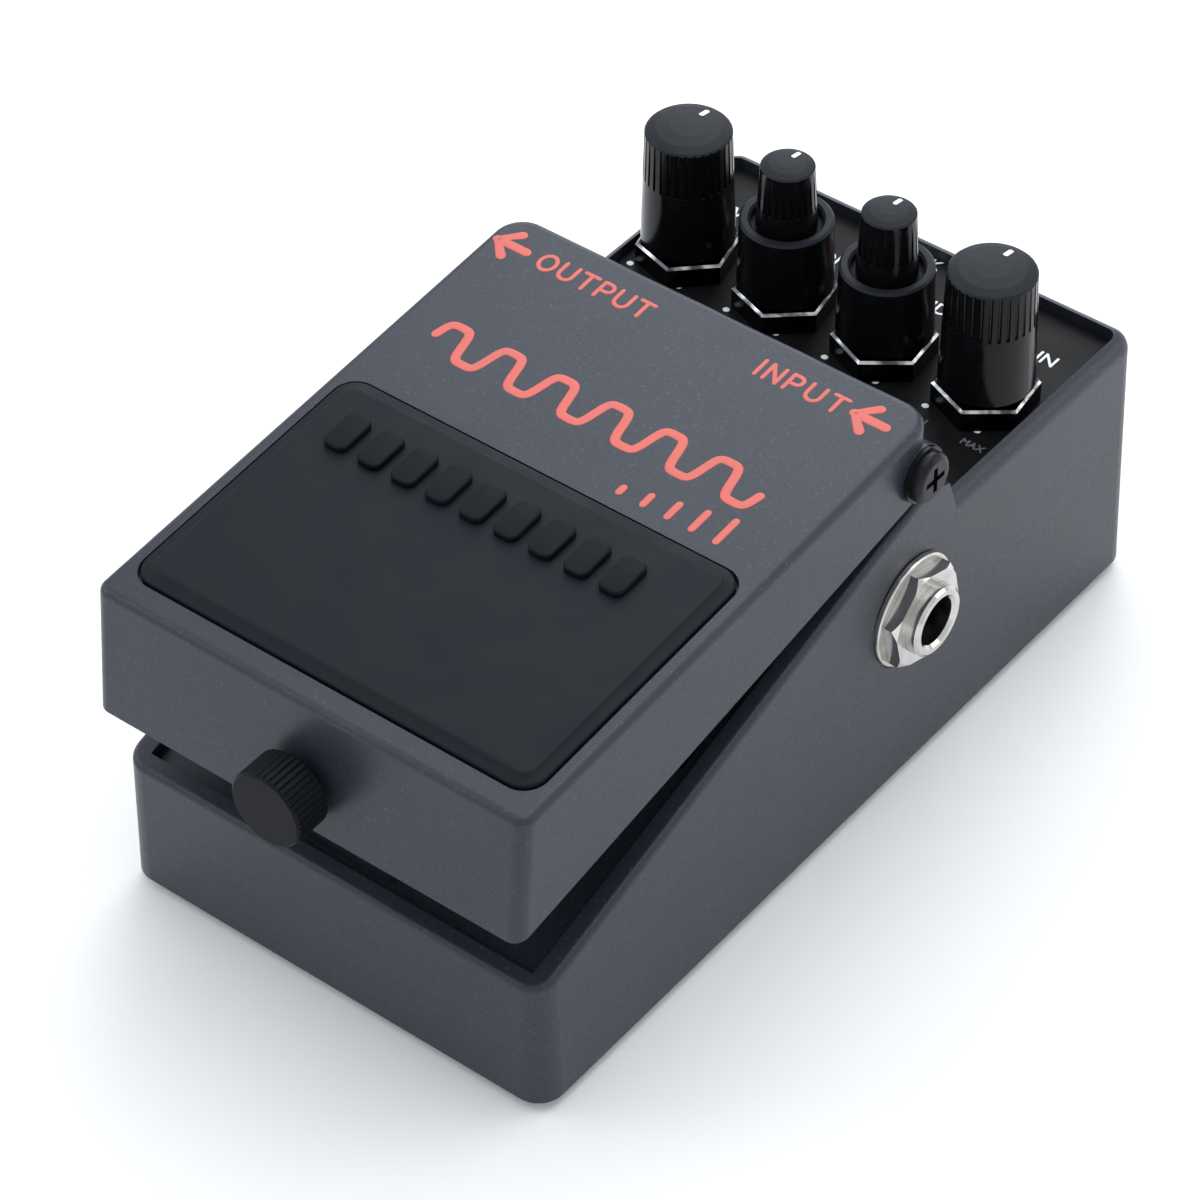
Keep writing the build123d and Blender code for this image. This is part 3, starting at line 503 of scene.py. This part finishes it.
wave = clipped_wave(left=-25.6 * MM, right=22.6 * MM, y=-7.4 * MM, height=2.5 * MM, cycles=6)
wave_stroke = 1.25 * MM
ink("signal_wave", [wave], wave_stroke, cover, salmon_ink, "treadle")
# The bars' places, in millimetres.
bar_count, bar_left, bar_pitch = 5, 8.8, 3.5
bar_bottom, bar_top, bar_growth = -16.0, -15.2, 0.75
bar_stroke = 1.0 * MM
bars = []
for i in range(bar_count):
    x = (bar_left + bar_pitch * i) * MM
    bars.append([(x, bar_bottom * MM), (x, (bar_top + bar_growth * i) * MM)])
ink("gain_bars", bars, bar_stroke, cover, salmon_ink, "treadle")

panel_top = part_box("control_panel")[1].z
panel = drawing_plane(Vector((0, 0, panel_top)), Vector((0, 0, 1)))
knob_names = ("level_knob", "eq_ring_knob", "mid_ring_knob", "drive_knob")
dot_sideways = (-5.25 * MM, 2.5 * MM)  # from a knob's middle to its two dots
dot_forward = 5.35 * MM
dot_width, dot_stretch = 0.9 * MM, 0.05 * MM
dots = []
for knob in knob_names:
    centre = middle(knob)
    for dx in dot_sideways:
        spot = (centre.x + dx, centre.y - dot_forward)
        dots.append([spot, (spot[0] + dot_stretch, spot[1])])
ink("scale_dots", dots, dot_width, panel, white_ink, "chassis")


def label(text, x, y, tall, plane):
    """A short printed word with capitals of that height, centred on a place."""
    curve = bpy.data.curves.new(text, "FONT")
    curve.body = text
    curve.size = tall / CAPITAL_SHARE
    curve.align_x = "CENTER"
    curve.align_y = "CENTER"
    curve.extrude = 0.03 * MM
    curve.offset = 0.03 * MM
    holder = bpy.data.objects.new(text, curve)
    mesh = bpy.data.meshes.new_from_object(holder)
    bpy.data.objects.remove(holder)
    mesh.transform(plane @ Matrix.Translation((x, y, 0)))
    return mesh


knob_label_tall, lamp_label_tall, range_tall = 2.1 * MM, 1.9 * MM, 1.1 * MM
labels, range_ends = [], []
for knob, text in zip(knob_names, ("LEVEL", "TONE", "MID", "GAIN")):
    centre = middle(knob)
    label_x, label_y = centre.x - 0.4 * MM, centre.y + 10.9 * MM
    min_x, max_x = centre.x - 4.6 * MM, centre.x + 3.6 * MM
    range_y = centre.y - 8.0 * MM
    labels.append(label(text, label_x, label_y, knob_label_tall, panel))
    range_ends.append(label("MIN", min_x, range_y, range_tall, panel))
    range_ends.append(label("MAX", max_x, range_y, range_tall, panel))
lamp = middle("lamp_bezel")
labels.append(label("CHECK", lamp.x - 0.6 * MM, lamp.y + 4.2 * MM, lamp_label_tall, panel))
piece("panel_labels", join_meshes(labels), white_ink, "chassis", smooth=False)
# The MIN and MAX labels are white print darkened to grey as painted shade.
piece("range_labels", join_meshes(range_ends), painted_shade_ink, "chassis", smooth=False)

# ---------------------------------------------------------------- foot pad
pad_point, pad_normal = facing_up("foot_pad")
pad_plane = drawing_plane(pad_point, pad_normal)
to_pad = pad_plane.inverted()
flat = [to_pad @ v.co for v in nodes["foot_pad"].data.vertices]
pad_half_x = max(p.x for p in flat)
pad_y = (min(p.y for p in flat), max(p.y for p in flat))
pad_bottom = min(p.z for p in flat)
pad_centre = (0.0, sum(pad_y) / 2)
pad_corner = 3.0 * MM
edge_profile = [  # inset from the outline, and height from the top face
    (0.0, pad_bottom),
    (0.0, -0.8 * MM),
    (0.07 * MM, -0.58 * MM),
    (0.26 * MM, -0.46 * MM),
    (1.15 * MM, -0.4 * MM),
    (1.4 * MM, -0.12 * MM),
    (1.62 * MM, -0.02 * MM),
    (2.0 * MM, 0.0),
]
pad_half_y = (pad_y[1] - pad_y[0]) / 2
pad_mesh = moulded_plate(pad_centre, pad_half_x, pad_half_y, pad_corner, edge_profile, pad_plane)
pad = piece("rubber_pad", pad_mesh, MATERIALS["pad_rubber"], "treadle")
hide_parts("foot_pad")

rib_count = 9
rib_pitch = 5.1 * MM
rib_shift = -2.2 * MM  # the row stands a little to the left of the middle
rib_y = -27.4 * MM
rib_half_x, rib_half_y, rib_corner = 1.7 * MM, 3.0 * MM, 1.1 * MM
rib_profile = [
    (0.0, -0.3 * MM),
    (0.0, 0.66 * MM),
    (0.1 * MM, 0.82 * MM),
    (0.3 * MM, 0.86 * MM),
]
ribs = []
for i in range(rib_count):
    rib_centre = ((i - (rib_count - 1) / 2) * rib_pitch + rib_shift, rib_y)
    ribs.append(moulded_plate(rib_centre, rib_half_x, rib_half_y, rib_corner, rib_profile, pad_plane))
# The ribs use the pad rubber darkened as painted shade.
rib_piece = piece("grip_ribs", join_meshes(ribs), rib_rubber_painted_shade, "treadle")


# ---------------------------------------------------------------- pointers on the knobs
def pointer(name, knob, body, near, far, half_width):
    """A white bar let into the top of a knob, following its dome."""
    centre = middle(knob)
    lift, sunk = 0.035 * MM, 0.15 * MM
    outline = rounded_rectangle(half_width, (far - near) / 2, half_width * 0.7, 4)
    shape = bmesh.new()
    upper, lower = [], []
    for x, y in outline:
        spot = (centre.x + x, centre.y + (near + far) / 2 + y)
        height = top_of(knob, *spot)
        upper.append(shape.verts.new((*spot, height + lift)))
        lower.append(shape.verts.new((*spot, height - sunk)))
    for i in range(len(upper)):
        j = (i + 1) % len(upper)
        shape.faces.new((lower[i], lower[j], upper[j], upper[i]))
    shape.faces.new(upper)
    shape.faces.new(list(reversed(lower)))
    bmesh.ops.triangulate(shape, faces=[f for f in shape.faces if len(f.verts) > 4])
    mesh = bpy.data.meshes.new(name)
    shape.to_mesh(mesh)
    shape.free()
    piece(name, mesh, white_ink, body, smooth=False)


# top_of casts its ray at the evaluated scene, so that is brought up to date first.
bpy.context.view_layer.update()
on_knob = {"near": 2.4 * MM, "far": 4.05 * MM, "half_width": 0.34 * MM}
on_cap = {"near": 0.95 * MM, "far": 2.5 * MM, "half_width": 0.3 * MM}
pointer("level_pointer", "level_knob", "level_control", **on_knob)
pointer("drive_pointer", "drive_knob", "drive_control", **on_knob)
pointer("eq_pointer", "eq_cap_knob", "eq_cap_control", **on_cap)
pointer("mid_pointer", "mid_cap_knob", "mid_cap_control", **on_cap)

# ---------------------------------------------------------------- return spring
spring_low, spring_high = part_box("return_spring")
spring_mid = (spring_low + spring_high) / 2
wire = 0.5 * MM
coil_radius = (spring_high.x - spring_low.x) / 2 - wire
turns, points_a_turn = 7, 36
coil_rise = spring_high.z - spring_low.z - 2 * wire


def coil_height(share):
    """Height along the spring: the first and last turns lie closed."""
    closed = 1 / turns
    lie = 2.2 * wire
    if share < closed:
        return lie * share / closed
    if share > 1 - closed:
        return coil_rise - lie * (1 - share) / closed
    return lie + (coil_rise - 2 * lie) * (share - closed) / (1 - 2 * closed)


coil_path = []
for i in range(turns * points_a_turn + 1):
    share = i / (turns * points_a_turn)
    angle = 2 * pi * turns * share
    x = spring_mid.x + coil_radius * cos(angle)
    y = spring_mid.y + coil_radius * sin(angle)
    coil_path.append((x, y, spring_low.z + wire + coil_height(share)))
spring_mesh = curve_mesh([coil_path], wire, round_ends=False)
spring = piece("coil_spring", spring_mesh, MATERIALS["spring_steel"], "chassis")
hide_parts("return_spring")
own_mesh(spring)

# ---------------------------------------------------------------- floor, light and camera
floor_half = 3.0
shape = bmesh.new()
bmesh.ops.create_grid(shape, x_segments=4, y_segments=4, size=floor_half)
floor_mesh = bpy.data.meshes.new("floor")
shape.to_mesh(floor_mesh)
shape.free()
floor = bpy.data.objects.new("floor", floor_mesh)
floor.location.z = -0.05 * MM
bpy.context.collection.objects.link(floor)
floor_mesh.materials.append(painted_floor())

world = bpy.data.worlds.new("studio")
bpy.context.scene.world = world
world.use_nodes = True
world.node_tree.nodes["Background"].inputs["Color"].default_value = (0.95, 0.975, 1.0, 1.0)
world.node_tree.nodes["Background"].inputs["Strength"].default_value = 0.86


def soft_light(name, place, aim, size, power, colour):
    """A square area light aimed at a point."""
    lamp_data = bpy.data.lights.new(name, "AREA")
    lamp_data.shape = "SQUARE"
    lamp_data.size = size
    lamp_data.energy = power
    lamp_data.color = colour
    light = bpy.data.objects.new(name, lamp_data)
    light.location = place
    light.rotation_euler = (Vector(aim) - Vector(place)).to_track_quat("-Z", "Y").to_euler()
    bpy.context.collection.objects.link(light)


cool, pale, neutral = (0.86, 0.93, 1.0), (0.93, 0.965, 1.0), (1.0, 0.99, 0.97)
soft_light("overhead", (0.0, 0.35, 1.2), (0, 0.02, 0.03), size=1.1, power=6.2, colour=pale)
soft_light("left", (-0.9, -0.5, 0.7), (0, 0, 0.02), size=0.7, power=2.6, colour=cool)
soft_light("right_rear", (0.42, 0.42, 0.22), (0.02, 0.06, 0.02), size=0.3, power=0.4, colour=neutral)
soft_light("rear_near", (-0.17, 0.31, 0.28), (0, 0.02, 0.05), size=0.28, power=0.55, colour=pale)

# The camera's place, turn and lens come from the perspective solve of the photo.
camera_data = bpy.data.cameras.new("camera")
camera_data.sensor_width = 36.0
camera_data.lens = 141.07
camera_data.clip_end = 20.0
camera = bpy.data.objects.new("camera", camera_data)
right = Vector((0.78735, 0.61642, -0.00997))
back = Vector((0.45625, -0.57174, 0.68187))
up = back.cross(right)
stand = Vector((259.84, -334.36, 413.92)) * MM
camera.matrix_world = Matrix.Translation(stand) @ Matrix((right, up, back)).transposed().to_4x4()
bpy.context.collection.objects.link(camera)
bpy.context.scene.camera = camera
bpy.context.scene.view_settings.view_transform = "Standard"
